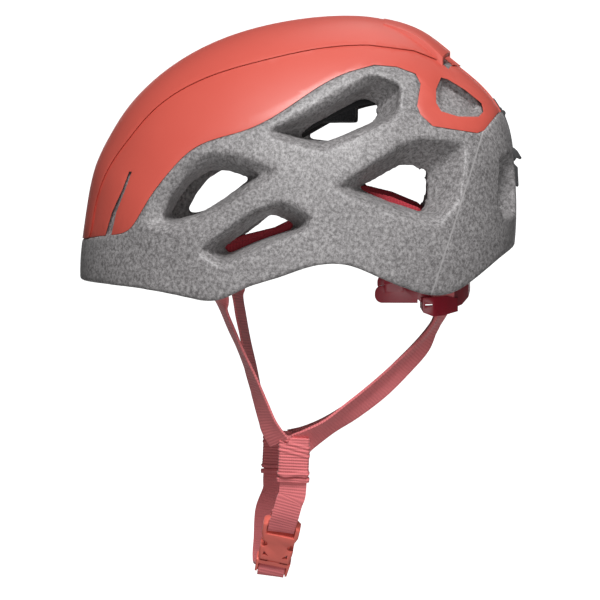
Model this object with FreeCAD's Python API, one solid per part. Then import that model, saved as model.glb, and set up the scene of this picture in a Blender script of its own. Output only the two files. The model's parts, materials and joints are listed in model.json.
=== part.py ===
import FreeCAD, Part
import math
import os

# Climbing helmet. Units are millimetres. Z is up, the front of the helmet faces -Y and the
# wearer's left side is +X. The origin lies on the mid-plane at rim level.
V = FreeCAD.Vector

# Driving sizes of the body: side-view lines on the mid-plane (y, z) and half widths
CENTRE_Y = 8.0
CENTRE_Z = -8.0
FULLNESS = 2.2
HALF_WIDTH = 106.0
OUTER_LINE = [(-130.8, -8), (-132.0, 6), (-132.4, 19.5), (-131.4, 34), (-129.5, 48), (-127, 64),
              (-121.4, 85.4), (-114.1, 100), (-104.9, 114.7), (-92.1, 129.3), (-73.8, 144),
              (-45.8, 158.6), (-10, 168.6), (28, 172.4), (55, 169.4), (75, 160.2), (94, 145.6),
              (110, 132.5), (121, 119.5), (127.5, 105), (130.5, 88), (132, 70.8), (132.4, 56),
              (132, 41.5), (130.6, 28), (128.5, 8), (126.5, -8)]
INNER_HALF_WIDTH = 81.0
INNER_LINE = [(-106, -8), (-107.5, 5), (-108, 20), (-107, 35), (-104.5, 50), (-101, 65), (-93, 85),
              (-82, 102), (-66, 119), (-44, 133), (-12, 143), (25, 146.5), (50, 145), (68, 138),
              (84, 126), (97, 112), (106, 97), (110.5, 82), (112, 65), (112, 45), (111.5, 30),
              (110, 10), (108, -8)]
RIM_LINE = [(-150, 13), (-127, 13), (-100, 12.5), (-79, 10.5), (-58, 7), (-46, 5.5), (-37, 7.5),
            (-27, 12.5), (-6, 19.5), (8, 24.5), (20, 27), (32, 26.5), (49, 20), (68, 12),
            (80, 8.5), (91, 9), (103, 15), (114, 23), (124, 30), (132, 34), (150, 40)]

# Crown shell
SHELL_WALL = 1.8
SHELL_GAP = 0.3
PANEL_RISE = 0.8
HOOD_RISE = 2.8
HOOD_HALF_WIDTH = 35.0
HOOD_FRONT = 60.0
HOOD_LIP = 92.0
SPINE_HALF_WIDTH = 8.5
SHELL_EDGE = [(-150, 38), (-125, 39), (-111, 41.5), (-103, 42.5), (-96, 45), (-90, 52), (-82, 65),
              (-71, 79), (-56, 93), (-41, 99), (-27, 103), (-7, 113), (15, 128), (33, 137)]
SHELL_EDGE_REAR = [(47, 141), (60, 140), (71, 136), (74, 130), (72, 117), (74, 112), (81, 105.5),
                   (107, 101.5), (111, 103), (120, 113.5), (150, 125)]
PANEL_LINE = [(-150, 41), (-122, 42), (-120, 52), (-116, 68), (-107, 86), (-97, 99), (-85, 113),
              (-54, 133), (-18, 144), (15, 151), (44, 153)]
WINDOW = [(86, 134), (83, 127), (83, 119), (86, 114), (96, 111), (108, 111), (111, 114),
          (110, 119), (100, 127), (90, 133)]
WINDOW_DEPTH = 6.5
CLIP_SLIT = [(-96, 79), (-94.2, 79), (-98.2, 68), (-103.6, 55), (-107.6, 38), (-112, 38),
             (-106.6, 55), (-100.2, 68)]

# Side vents: outline on the outer face, at the foot of the bevel and at the inner wall
BEVEL_DEPTH = 6.0
FRONT_UPPER_VENT = (
    [(-87, 48), (-81, 63), (-67, 80), (-48, 91), (-34, 90), (-6, 80), (-33, 62), (-54, 49),
     (-73, 45)],
    [(-76, 51), (-71, 64), (-60, 77), (-48, 85), (-35, 84), (-16, 78), (-36, 63), (-55, 54),
     (-70, 49)],
    [(-73, 52), (-67, 63), (-59, 73), (-49, 79), (-38, 79), (-25, 75), (-40, 64), (-55, 55),
     (-66, 52)])
FRONT_LOWER_VENT = (
    [(-54, 34), (-38, 46), (-22, 57), (-5, 63), (13, 54), (9, 46), (-15, 36), (-40, 25)],
    [(-49, 34), (-34, 45), (-20, 55), (-7, 59), (9, 52), (7, 47), (-15, 39), (-39, 28)],
    [(-40, 34), (-30, 42), (-20, 50), (-12, 54), (1, 49), (-1, 46), (-19, 40), (-35, 33)])
REAR_UPPER_VENT = (
    [(-17, 101), (14, 118), (39, 132), (48, 135), (63, 129), (61, 113), (54, 107), (19, 91)],
    [(-10, 102), (15, 113), (40, 127), (48, 132), (61, 127), (59, 114), (54, 109), (17, 95)],
    [(3, 99), (17, 109), (37, 120), (42, 121), (47, 118), (47, 111), (45, 108), (20, 97)])
REAR_LOWER_VENT = (
    [(25, 70), (46, 84), (63, 95), (74, 99), (100, 95), (97, 63), (85, 48), (59, 55)],
    [(31, 70), (48, 82), (65, 92), (74, 95), (95, 91), (92, 63), (83, 53), (61, 58)],
    [(37, 70), (49, 75), (62, 82), (68, 82), (76, 79), (76, 61), (73, 56), (56, 62)])
# Rear vents: (x, z) outlines on the outer face and at the inner wall
NAPE_VENT_OUTER = [(16, 54), (14, 84), (22, 90), (46, 86), (52, 60), (44, 51)]
NAPE_VENT_INNER = [(20, 58), (20, 74), (25, 77), (38, 75), (41, 62), (36, 57)]

# Crown core and pads
FIT_GAP = 0.3
CORE_WALL = 7.0
CORE_EDGE = [(-92, 75), (-60, 84), (-30, 88), (5, 101), (27, 113), (46, 119), (72, 116), (96, 100)]
PAD_WALL = 8.0
BROW_PAD_TOP = 40.0
BROW_PAD_FOOT = 17.0
BROW_PAD_REAR = -55.5

# Webbing
WEB_WIDTH = 16.0
WEB_WALL = 1.6
WEB_GAP = 0.3
ANCHOR_RADIUS = 7.0
ANCHOR_DEPTH = 9.0
STRAP_OFFSET = 2.3
RIVET_RADIUS = 2.0
RIVET_HEAD = 5.0
ANCHOR_FRONT_AT = (-45.0, 18.5)
ANCHOR_REAR_AT = (80.0, 28.0)
JUNCTION_TOP = V(49.9, 0.2, -78.0)
JUNCTION_FOOT = V(46.6, -0.8, -101.5)
JUNCTION_WALL = 6.8
JUNCTION_WIDTH = 18.0
RIGHT_SWING = V(0, -15.0, -8.0)
RING_HEIGHT = 3.0
RING_WALL = 1.4

# Nape cradle
PIVOT_Y = 56.0
PIVOT_Z = 38.0
PIVOT_RADIUS = 3.5
PIVOT_CLEARANCE = 0.06
PIVOT_FLANGE = 6.0
ARM_WALL = 2.4
ARM_WIDTH = 11.0
ARM_X = 68.8
LEG_X = 58.0
LEG_Z = 7.4
LEG_HEIGHT = 6.4
LEG_WALL = 2.4
LEG_FRONT = 63.0
SLEEVE_FRONT = 47.6
SLEEVE_REAR = 72.6
SLEEVE_WALL = 1.4
SLIDE_GAP = 0.4
# Yoke sections from the end of the left leg to the mid-plane: x, y, foot, top
YOKE_SECTIONS = [(LEG_X, 73, LEG_Z - 3.2, LEG_Z + 3.2), (56.4, 79, -2, 16), (49.6, 85.4, -3.5, 19),
                 (41, 91.6, -2.5, 22), (28, 98.2, -0.5, 25), (14, 102.2, 3, 27), (0, 103.6, 6, 28)]
NAPE_PAD_WALL = 5.0
LOBE_WALL = 6.4
LOBE_OUT = 2.2

# Side-release buckle, built along its own axis: x across, y through, z from the socket's
# webbing bar towards the plug's bar
BUCKLE_TOP = V(36.5, -7.3, -130.0)
BUCKLE_AXIS = V(-22.0, -8.9, -35.5)
BUCKLE_ACROSS = V(0.0, 1.0, -0.12)
SOCKET_WIDTH = 22.4
SOCKET_LENGTH = 30.0
SOCKET_DEPTH = 9.0
SOCKET_WALL = 1.8
PLUG_WIDTH = 21.0
PLUG_BASE = 10.0
PLUG_GAP = 0.5
LATCH_WIDTH = 3.2
LATCH_DEPTH = 4.4
LATCH_SPREAD = 7.5
LATCH_ROOT = 1.1

# Rear headlamp keeper
KEEPER_WIDTH = 13.0
KEEPER_CHANNEL = 3.2
KEEPER_PIN_Z = 113.5
KEEPER_PIN_RADIUS = 1.0
KNUCKLE_RADIUS = 2.0
KNUCKLE_HALF = 3.8
KNUCKLE_GAP = 0.3


def radius_of(line, y, z):
    """Radius of a side-view line in the direction of a point, seen from the centre."""
    def bearing(point):
        angle = math.atan2(point[1] - CENTRE_Z, CENTRE_Y - point[0])
        return angle if angle > -1.5 else angle + 2 * math.pi
    want = bearing((y, z))
    for first, second in zip(line, line[1:]):
        low = bearing(first)
        high = bearing(second)
        if low <= want <= high:
            part = (want - low) / (high - low)
            near = math.hypot(first[0] - CENTRE_Y, first[1] - CENTRE_Z)
            far = math.hypot(second[0] - CENTRE_Y, second[1] - CENTRE_Z)
            return near + part * (far - near)
    return math.hypot(line[0][0] - CENTRE_Y, line[0][1] - CENTRE_Z)


def side_x(line, half_width, y, z, offset=0.0):
    """Half width of a dome at a side-view point."""
    ratio = math.hypot(y - CENTRE_Y, z - CENTRE_Z) / (radius_of(line, y, z) + offset)
    room = max(0.0, 1 - ratio ** FULLNESS)
    return (half_width + offset) * room ** (1 / FULLNESS)


def rear_y(line, half_width, x, z, offset=0.0):
    """Rear position of a dome at a given half width and height."""
    low = CENTRE_Y
    high = 160.0
    for step in range(30):
        middle = (low + high) / 2
        if side_x(line, half_width, middle, z, offset) > abs(x):
            low = middle
        else:
            high = middle
    return low


def solid_of(faces):
    """Closed solid from a set of faces, turned the right way out."""
    shell = Part.makeShell(faces)
    shell.sewShape()
    solid = Part.makeSolid(shell)
    if solid.Volume < 0:
        solid.reverse()
    return solid


def dome(line, half_width, offset=0.0):
    """Dome solid from a side-view line, flat at the centre height."""
    turns = [-86, -80, -72, -62, -51, -40, -29, -19, -9, 0, 9, 19, 29, 40, 51, 62, 72, 80, 86]
    rows = []
    for y, z in line:
        radius = math.hypot(y - CENTRE_Y, z - CENTRE_Z)
        stretch = (radius + offset) / radius
        row = []
        for turn in turns:
            angle = math.radians(turn)
            across = math.copysign(abs(math.sin(angle)) ** (2 / FULLNESS), angle)
            rise = stretch * math.cos(angle) ** (2 / FULLNESS)
            row.append(V((half_width + offset) * across, CENTRE_Y + (y - CENTRE_Y) * rise,
                         CENTRE_Z + (z - CENTRE_Z) * rise))
        rows.append(row)
    surface = Part.BSplineSurface()
    surface.interpolate(rows)
    skin = surface.toShape()
    ends = [edge for edge in skin.Edges if abs(edge.BoundBox.XLength) < 0.01]
    sides = [edge for edge in skin.Edges if edge.BoundBox.XLength > 1]
    faces = [skin]
    closers = []
    for edge in ends:
        closer = Part.makeLine(edge.firstVertex().Point, edge.lastVertex().Point)
        closers.append(closer)
        faces.append(Part.Face(Part.Wire(Part.__sortEdges__([edge, closer]))))
    faces.append(Part.Face(Part.Wire(Part.__sortEdges__(sides + closers))))
    return solid_of(faces)


def side_prism(outline, x_from, x_to):
    """Side-view polygon drawn out across the helmet."""
    loop = [V(x_from, y, z) for y, z in outline]
    face = Part.Face(Part.makePolygon(loop + loop[:1]))
    return face.extrude(V(x_to - x_from, 0, 0))


def curve_prism(curve, corners, x_from, x_to):
    """Side-view region with one smooth edge and straight corners behind it."""
    spline = Part.BSplineCurve()
    spline.interpolate([V(x_from, y, z) for y, z in curve])
    loop = [V(x_from, *curve[-1])] + [V(x_from, y, z) for y, z in corners] + [V(x_from, *curve[0])]
    wire = Part.Wire([spline.toShape()] + Part.makePolygon(loop).Edges)
    return Part.Face(wire).extrude(V(x_to - x_from, 0, 0))


def both_sides(shape):
    """A shape of the left side together with its mirror image."""
    return [shape, shape.mirror(V(0, 0, 0), V(1, 0, 0))]


def ring_solid(rings):
    """Solid through a stack of point rings, each with the same number of points."""
    faces = []
    count = len(rings[0])
    for lower, upper in zip(rings, rings[1:]):
        for i in range(count):
            j = (i + 1) % count
            faces.append(Part.Face(Part.makePolygon([lower[i], lower[j], upper[j], lower[i]])))
            faces.append(Part.Face(Part.makePolygon([lower[i], upper[j], upper[i], lower[i]])))
    for ring in (rings[0], rings[-1]):
        middle = V(0, 0, 0)
        for point in ring:
            middle += point * (1.0 / count)
        for i in range(count):
            j = (i + 1) % count
            faces.append(Part.Face(Part.makePolygon([middle, ring[i], ring[j], middle])))
    return solid_of(faces)


def vent_tool(vent):
    """Flared cutter of a side vent on the left side."""
    outer, bevel, inner = vent
    outer = [V(side_x(OUTER_LINE, HALF_WIDTH, y, z), y, z) for y, z in outer]
    bevel = [V(side_x(OUTER_LINE, HALF_WIDTH, y, z, -BEVEL_DEPTH), y, z) for y, z in bevel]
    inner = [V(side_x(INNER_LINE, INNER_HALF_WIDTH, y, z), y, z) for y, z in inner]
    above = []
    below = []
    for rim, foot, end in zip(outer, bevel, inner):
        step = rim - foot
        above.append(rim + step * (2.5 / max(step.x, 2.5)))
        step = foot - end
        below.append(end - step * (1.5 / max(step.x, 4.0)))
    outside = [point + V(14, 0, 0) for point in above]
    inside = [point - V(12, 0, 0) for point in below]
    return ring_solid([outside, above, bevel, below, inside])


def ribbon(points, across, width, wall):
    """Flat band along a path; each path point has its own direction across the band."""
    wires = []
    last = len(points) - 1
    for i, point in enumerate(points):
        along = points[min(i + 1, last)] - points[max(i - 1, 0)]
        along.normalize()
        side = across[i] - along * across[i].dot(along)
        side.normalize()
        normal = along.cross(side)
        corners = []
        for u, v in ((-1, -1), (1, -1), (1, 1), (-1, 1)):
            corners.append(point + side * (u * width / 2) + normal * (v * wall / 2))
        wires.append(Part.makePolygon(corners + corners[:1]))
    return Part.makeLoft(wires, True, True)


def box(x, y, z, dx, dy, dz):
    """Box centred on a point."""
    return Part.makeBox(dx, dy, dz, V(x - dx / 2, y - dy / 2, z - dz / 2))


def framed(shape, origin, along, across):
    """Shape moved from its own axes to a place on the helmet."""
    z_axis = V(along)
    z_axis.normalize()
    x_axis = across - z_axis * across.dot(z_axis)
    x_axis.normalize()
    y_axis = z_axis.cross(x_axis)
    matrix = FreeCAD.Matrix(x_axis.x, y_axis.x, z_axis.x, origin.x,
                            x_axis.y, y_axis.y, z_axis.y, origin.y,
                            x_axis.z, y_axis.z, z_axis.z, origin.z,
                            0, 0, 0, 1)
    moved = shape.copy()
    moved.Placement = FreeCAD.Placement(matrix)
    return moved


parts = {}

# Crown shell -------------------------------------------------------------------------------
outer = dome(OUTER_LINE, HALF_WIDTH)
shell_low = dome(OUTER_LINE, HALF_WIDTH, -PANEL_RISE)
shell_inner = dome(OUTER_LINE, HALF_WIDTH, -PANEL_RISE - SHELL_WALL)
recess = dome(OUTER_LINE, HALF_WIDTH, -PANEL_RISE - SHELL_WALL - SHELL_GAP)
cavity = dome(INNER_LINE, INNER_HALF_WIDTH)


def shell_region(drop):
    """Side-view region above the edge of the crown shell, lowered by a given amount."""
    front = [(y, z - drop) for y, z in SHELL_EDGE]
    rear = [(y, z - drop) for y, z in SHELL_EDGE_REAR]
    return curve_prism(front, rear + [(150, 220), (-150, 220)], -130, 130)


panel_region = curve_prism(PANEL_LINE, [(70, 150), (92, 142), (150, 142), (150, 220), (-150, 220)],
                           -130, 130)
hood_line = []
for y, z in OUTER_LINE:
    reach = (y - HOOD_FRONT + 12) / 28.0
    lift = HOOD_RISE * min(1.0, max(0.0, reach)) if z > 60 else 0.0
    length = math.hypot(y - CENTRE_Y, z - CENTRE_Z)
    hood_line.append((y + lift * (y - CENTRE_Y) / length, z + lift * (z - CENTRE_Z) / length))
hood_outer = dome(hood_line, HALF_WIDTH + HOOD_RISE)
hood_inner = dome(hood_line, HALF_WIDTH + HOOD_RISE, -SHELL_WALL)
hood_plan = [V(-HOOD_HALF_WIDTH, HOOD_LIP - 5, 100), V(-HOOD_HALF_WIDTH + 7, HOOD_FRONT - 8, 100),
             V(HOOD_HALF_WIDTH - 7, HOOD_FRONT - 8, 100), V(HOOD_HALF_WIDTH, HOOD_LIP - 5, 100),
             V(0.4 * HOOD_HALF_WIDTH, HOOD_LIP, 100), V(-0.4 * HOOD_HALF_WIDTH, HOOD_LIP, 100)]
hood_prism = Part.Face(Part.makePolygon(hood_plan + hood_plan[:1])).extrude(V(0, 0, 100))
mouth_plan = []
for point in hood_plan:
    mouth_plan.append(V(point.x * (1 - SHELL_WALL / HOOD_HALF_WIDTH), point.y + 3.5, point.z))
mouth = Part.Face(Part.makePolygon(mouth_plan + mouth_plan[:1])).extrude(V(0, 0, 100))
shell = shell_low.fuse(outer.common(panel_region)).cut(shell_inner)
hood = hood_outer.common(hood_prism).cut(shell_inner)
shell = shell.fuse(hood)
pocket = hood_inner.common(mouth).cut(shell_inner)
shell = shell.cut(pocket.cut(box(0, 80, 150, 2 * SPINE_HALF_WIDTH, 80, 120)))
shell = shell.common(shell_region(0))
for tool in both_sides(side_prism(WINDOW, 30, 130)) + both_sides(side_prism(CLIP_SLIT, 40, 130)):
    shell = shell.cut(tool)
for side in (1, -1):
    slot = [V(side * SPINE_HALF_WIDTH, HOOD_LIP - 8, 90), V(side * 15, HOOD_LIP - 8, 90),
            V(side * 21, 150, 90), V(side * SPINE_HALF_WIDTH, 150, 90)]
    shell = shell.cut(Part.Face(Part.makePolygon(slot + slot[:1])).extrude(V(0, 0, 100)))
shell = shell.cut(box(0, 130, KEEPER_PIN_Z, KEEPER_WIDTH + 1.2, 40, 20))
parts["shell"] = shell

# Foam body ---------------------------------------------------------------------------------
foam = outer.cut(shell_region(SHELL_GAP).cut(recess))
foam = foam.cut(cavity)
foam = foam.cut(curve_prism(RIM_LINE, [(150, -60), (-150, -60)], -130, 130))
for vent in (FRONT_UPPER_VENT, FRONT_LOWER_VENT, REAR_UPPER_VENT, REAR_LOWER_VENT):
    for tool in both_sides(vent_tool(vent)):
        foam = foam.cut(tool)
nape_outer = [V(x, rear_y(OUTER_LINE, HALF_WIDTH, x, z) + 1.5, z) for x, z in NAPE_VENT_OUTER]
nape_inner = [V(x, rear_y(INNER_LINE, INNER_HALF_WIDTH, x, z) - 1.5, z) for x, z in NAPE_VENT_INNER]
for tool in both_sides(ring_solid([[p + (p - q) * 0.5 for p, q in zip(nape_outer, nape_inner)],
                                   [q + (q - p) * 0.5 for p, q in zip(nape_outer, nape_inner)]])):
    foam = foam.cut(tool)
window_middle = V(0, sum(y for y, z in WINDOW) / len(WINDOW), sum(z for y, z in WINDOW) / len(WINDOW))
window_small = [(window_middle.y + 0.86 * (y - window_middle.y),
                 window_middle.z + 0.86 * (z - window_middle.z)) for y, z in WINDOW]
window_floor = dome(OUTER_LINE, HALF_WIDTH, -WINDOW_DEPTH)
for tool in both_sides(side_prism(window_small, 30, 130).cut(window_floor)):
    foam = foam.cut(tool)
channel_floor = dome(OUTER_LINE, HALF_WIDTH, -KEEPER_CHANNEL)
channel = box(0, 128, 96, KEEPER_WIDTH + 2.5, 40, 64).cut(channel_floor)
foam = foam.cut(channel)
parts["foam_body"] = foam

# Crown core and pads -----------------------------------------------------------------------
core_region = curve_prism([(-150, 62)] + CORE_EDGE + [(150, 74)], [(150, 220), (-150, 220)],
                          -130, 130)
core_outer = dome(INNER_LINE, INNER_HALF_WIDTH, -FIT_GAP)
core_inner = dome(INNER_LINE, INNER_HALF_WIDTH, -FIT_GAP - CORE_WALL)
parts["crown_core"] = core_outer.cut(core_inner).common(core_region)

pad_outer = dome(INNER_LINE, INNER_HALF_WIDTH, -2 * FIT_GAP)
brow = pad_outer.cut(dome(INNER_LINE, INNER_HALF_WIDTH, -2 * FIT_GAP - PAD_WALL))
parts["brow_pad"] = brow.common(box(0, BROW_PAD_REAR - 50, (BROW_PAD_TOP + BROW_PAD_FOOT) / 2,
                                    150, 100, BROW_PAD_TOP - BROW_PAD_FOOT))
crown_top = dome(INNER_LINE, INNER_HALF_WIDTH, -2 * FIT_GAP - CORE_WALL)
crown = crown_top.cut(dome(INNER_LINE, INNER_HALF_WIDTH, -2 * FIT_GAP - CORE_WALL - PAD_WALL))
cross = box(0, 12, 150, 34, 128, 100).fuse(box(0, 20, 150, 84, 34, 100))
parts["crown_pad"] = crown.common(cross)

# Harness -----------------------------------------------------------------------------------
def wall_point(y, z, gap):
    """Point beside the left inner wall of the foam, a gap away from it."""
    return V(side_x(INNER_LINE, INNER_HALF_WIDTH, y, z, -gap), y, z)


def wall_normal(y, z):
    """Outward direction of the left inner wall."""
    here = wall_point(y, z, 0)
    rearward = wall_point(y + 1, z, 0) - here
    upward = wall_point(y, z + 1, 0) - here
    normal = rearward.cross(upward)
    normal.normalize()
    return normal if normal.x > 0 else normal * -1


def on_side(point, side):
    """Left-side point carried over to a side of the harness; the right side hangs forward."""
    if side > 0:
        return point
    share = min(1.0, max(0.0, (2 - point.z) / 79.0))
    return V(-point.x, point.y + share * RIGHT_SWING.y, point.z + share * RIGHT_SWING.z)


def webbing(path, sides, extra=0.0):
    return ribbon(path, sides, WEB_WIDTH + extra, WEB_WALL + extra)


def anchor_parts(y, z, side, name):
    """Plug in the foam and its rivet; returns the webbing points on the plug and the tools."""
    normal = wall_normal(y, z)
    centre = wall_point(y, z, 0)
    across = normal.cross(V(0, 0, 1))
    across = across if across.y > 0 else across * -1
    plug = Part.makeCylinder(ANCHOR_RADIUS, ANCHOR_DEPTH)
    head_at = STRAP_OFFSET + WEB_WALL / 2 + WEB_GAP
    plug = plug.fuse(Part.makeCylinder(RIVET_RADIUS, head_at + 1.0, V(0, 0, -head_at)))
    plug = plug.fuse(Part.makeCylinder(RIVET_HEAD, 1.4, V(0, 0, -head_at - 1.4)))
    hole = Part.makeCylinder(RIVET_RADIUS + WEB_GAP, 8.0, V(0, 0, -6.5))
    plug = framed(plug, centre, normal, across)
    hole = framed(hole, centre, normal, across)
    if side < 0:
        plug = plug.mirror(V(0, 0, 0), V(1, 0, 0))
        hole = hole.mirror(V(0, 0, 0), V(1, 0, 0))
    parts[name] = plug
    down = normal.cross(across)
    down = down if down.z < 0 else down * -1
    middle = centre - normal * STRAP_OFFSET
    return [middle - down * 7.5, middle + down * 7.0], [across, across], hole


# Rear straps below their anchors: route and direction of the width, the right one hanging
# lower to its junction further forward
REAR_ROUTE = {1: [(52.0, 87.2, 9.5), (51.2, 88.2, 2.5), (50.3, 86.6, -5), (50, 82, -13.5),
                  (51, 75.5, -24), (52, 64.2, -36), (52, 50, -49.5), (51.4, 34.2, -62),
                  (50, 20.5, -71.6), (48.9, 8, -79.5)],
              -1: [(52.0, 87.2, 9.5), (51.2, 88.2, 2.5), (50.3, 87.4, -5), (50, 86.3, -12),
                   (50, 83.5, -19.5), (51, 75, -32), (52, 62, -46), (52, 47, -60.5),
                   (51.4, 31, -72.5), (50, 16.5, -81.5), (49.5, 4, -87.5), (48.9, -8, -90.6)]}
REAR_TWIST = {1: [(-0.66, 0.75, 0), (-0.8, 0.58, 0), (-0.92, 0.39, 0), (-0.95, 0.26, -0.15),
                  (-0.84, 0.35, -0.41), (-0.75, 0.44, -0.49), (-0.68, 0.47, -0.56),
                  (-0.75, 0.42, -0.51), (-0.86, 0.3, -0.41), (-0.68, 0.42, -0.6)],
              -1: [(-0.66, 0.75, 0), (-0.8, 0.58, 0), (-0.92, 0.39, 0), (-0.95, 0.28, -0.1),
                   (-0.95, 0.26, -0.15), (-0.9, 0.33, -0.3), (-0.84, 0.39, -0.39),
                   (-0.84, 0.39, -0.39), (-0.86, 0.33, -0.37), (-0.88, 0.3, -0.35),
                   (-0.84, 0.36, -0.4), (-0.8, 0.4, -0.4)]}

chin_starts = {}
strap_tools = []
for side, label in ((1, "left"), (-1, "right")):
    head, head_sides, hole = anchor_parts(*ANCHOR_FRONT_AT, side, "anchor_front_" + label)
    front_path = head + [V(65.2, -41.7, 1), V(62.4, -36, -13.7), V(60, -30.8, -26),
                         V(57, -24.8, -41), V(54, -19.6, -56), V(52.2, -14.9, -69.5),
                         V(51.2, -11.4, -77), V(50.4, -6.4, -82.5)]
    front_sides = head_sides + [V(0.93, 0.36, 0), V(0.95, 0.3, 0), V(0.96, 0.27, 0),
                                V(0.92, 0.38, 0), V(0.89, 0.45, 0.05), V(0.75, 0.64, 0.15),
                                V(0.6, 0.7, 0.3), V(0.45, 0.75, 0.5)]
    front_path = [on_side(p, side) for p in front_path]
    front_sides = [V(side * d.x, d.y, d.z) for d in front_sides]
    parts["front_strap_" + label] = webbing(front_path, front_sides).cut(hole)

    head, head_sides, hole = anchor_parts(*ANCHOR_REAR_AT, side, "anchor_rear_" + label)
    rear_path = [on_side(p, side) for p in head]
    rear_path += [V(side * x, y, z) for x, y, z in REAR_ROUTE[side]]
    rear_sides = head_sides + [V(x, y, z) for x, y, z in REAR_TWIST[side]]
    rear_sides = [V(side * d.x, d.y, d.z) for d in rear_sides]
    parts["rear_strap_" + label] = webbing(rear_path, rear_sides).cut(hole)
    strap_tools.append(webbing(rear_path[:6], rear_sides[:6], 2 * WEB_GAP))

    # Thin harness line along the inner wall between the two anchors
    line = [(-46, 31), (-38, 34.5), (-17.5, 39.5), (10, 53), (25, 62), (39.6, 66.5), (56, 62.5),
            (72, 56), (80, 48), (81, 38)]
    upright = [wall_normal(y, z).cross(V(0, 1, 0)) for y, z in line]
    upright = [V(side * d.x, d.y, d.z) for d in upright]
    line = [wall_point(y, z, 1.7) for y, z in line]
    line = [V(side * p.x, p.y, p.z) for p in line]
    parts["harness_web_" + label] = ribbon(line, upright, 5.0, 1.2)

    # Junction tab: a folded webbing sleeve sewn round the ends of the two Y straps
    top = on_side(JUNCTION_TOP, side)
    foot = on_side(JUNCTION_FOOT, side)
    axis = foot - top
    length = axis.Length
    axis.normalize()
    tab = box(0, 0, length / 2, JUNCTION_WIDTH, JUNCTION_WALL, length)
    tab = tab.makeFillet(1.4, [e for e in tab.Edges if abs(e.BoundBox.ZLength) > 5])
    tab = tab.cut(box(0, 0, length, WEB_WIDTH + 2 * WEB_GAP, WEB_WALL + 2 * WEB_GAP, 30.0))
    tab = framed(tab, top, axis, V(0, 1, 0))
    tab = tab.cut(webbing(front_path, front_sides, 2 * WEB_GAP))
    tab = tab.cut(webbing(rear_path, rear_sides, 2 * WEB_GAP))
    parts["junction_" + label] = tab

    # Keeper ring: an elastic loop on the chin webbing just below the tab
    inner_x = WEB_WIDTH + 2 * WEB_GAP
    inner_y = WEB_WALL + 2 * WEB_GAP
    ring = box(0, 0, RING_HEIGHT / 2, inner_x + 2 * RING_WALL, inner_y + 2 * RING_WALL, RING_HEIGHT)
    ring = ring.makeFillet(1.2, [e for e in ring.Edges if abs(e.BoundBox.ZLength) > 2])
    ring = ring.cut(box(0, 0, RING_HEIGHT / 2, inner_x, inner_y, RING_HEIGHT + 2))
    parts["ring_" + label] = framed(ring, foot + axis * 0.6, axis, V(0, 1, 0))
    chin_starts[label] = (foot, axis)

# Buckle ------------------------------------------------------------------------------------
buckle_axis = V(BUCKLE_AXIS)
buckle_axis.normalize()


def on_buckle(x, y, z):
    """Point given in the buckle's own axes."""
    return framed(Part.Vertex(V(x, y, z)), BUCKLE_TOP, buckle_axis, BUCKLE_ACROSS).Point


def buckle_block(outline, depth):
    """Block from an outline in the buckle's front view, x across and z along."""
    loop = [V(x, -depth / 2, z) for x, z in outline]
    return Part.Face(Part.makePolygon(loop + loop[:1])).extrude(V(0, depth, 0))


half = SOCKET_WIDTH / 2
half_foot = half - 1.8
socket = buckle_block([(-half + 3, 0), (half - 3, 0), (half, 2.5), (half, 9), (half - 1.4, 13),
                       (half - 1.0, 22), (half_foot, SOCKET_LENGTH), (-half_foot, SOCKET_LENGTH),
                       (-half + 1.0, 22), (-half + 1.4, 13), (-half, 9), (-half, 2.5)],
                      SOCKET_DEPTH)
socket = socket.makeFillet(1.5, [e for e in socket.Edges if abs(e.BoundBox.YLength) < 0.01
                                 and e.BoundBox.DiagonalLength > 3])
slot_x = WEB_WIDTH + 4 * WEB_GAP
bar_foot = 4.6
bar_half = 2.0
socket = socket.cut(box(0, 0, bar_foot + 2.2, slot_x, SOCKET_DEPTH + 4, 4.4))
for way in (1, -1):
    socket = socket.cut(box(0, way * (bar_half + 2.5), bar_foot / 2, slot_x, 5.0, bar_foot + 2))
room_x = SOCKET_WIDTH - 2 * SOCKET_WALL - 2.6
room_y = SOCKET_DEPTH - 2 * SOCKET_WALL
socket = socket.cut(box(0, 0, 11 + SOCKET_LENGTH / 2, room_x, room_y, SOCKET_LENGTH))
for way in (1, -1):
    socket = socket.cut(box(way * half, 0, 17.0, 8.0, room_y, 7.4))
    socket = socket.cut(Part.makeCylinder(2.5, SOCKET_DEPTH + 4,
                                          V(way * (half - 2.6), -SOCKET_DEPTH / 2 - 2, 17.0),
                                          V(0, 1, 0)))
    socket = socket.cut(buckle_block([(way * 4.0, 25.8), (way * 7.6, 25.8), (way * 7.2, 22.6)],
                                     SOCKET_DEPTH + 4))
parts["buckle_female"] = framed(socket, BUCKLE_TOP, buckle_axis, BUCKLE_ACROSS)

plug_top = SOCKET_LENGTH + PLUG_GAP
plug_foot = plug_top + PLUG_BASE
plug_half = PLUG_WIDTH / 2
plug_bar = plug_foot - 3.0
latch_foot = plug_top + 0.4
plug = buckle_block([(-plug_half, plug_top), (plug_half, plug_top), (plug_half - 0.6, plug_foot),
                     (-plug_half + 0.6, plug_foot)], SOCKET_DEPTH - 1.0)
plug = plug.makeFillet(1.2, [e for e in plug.Edges if abs(e.BoundBox.YLength) < 0.01
                             and e.BoundBox.DiagonalLength > 5])
plug = plug.cut(box(0, 0, plug_bar - 2.1, slot_x, SOCKET_DEPTH + 4, 4.2))
for way in (1, -1):
    plug = plug.cut(box(0, way * (bar_half + 2.2), plug_bar + 2, slot_x, 5.0, 6.0))
tongue = box(0, 0, (plug_top + 15) / 2 + 0.5, 5.0, room_y - 2 * SLIDE_GAP, plug_top - 15 + 1)
plug = plug.fuse(tongue)
for way in (1, -1):
    plug = plug.cut(box(way * (LATCH_SPREAD - 1.4), 0, latch_foot, LATCH_WIDTH + 1.6, room_y + 2,
                        2 * LATCH_ROOT + 0.6))
parts["buckle_male"] = framed(plug, BUCKLE_TOP, buckle_axis, BUCKLE_ACROSS)

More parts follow.
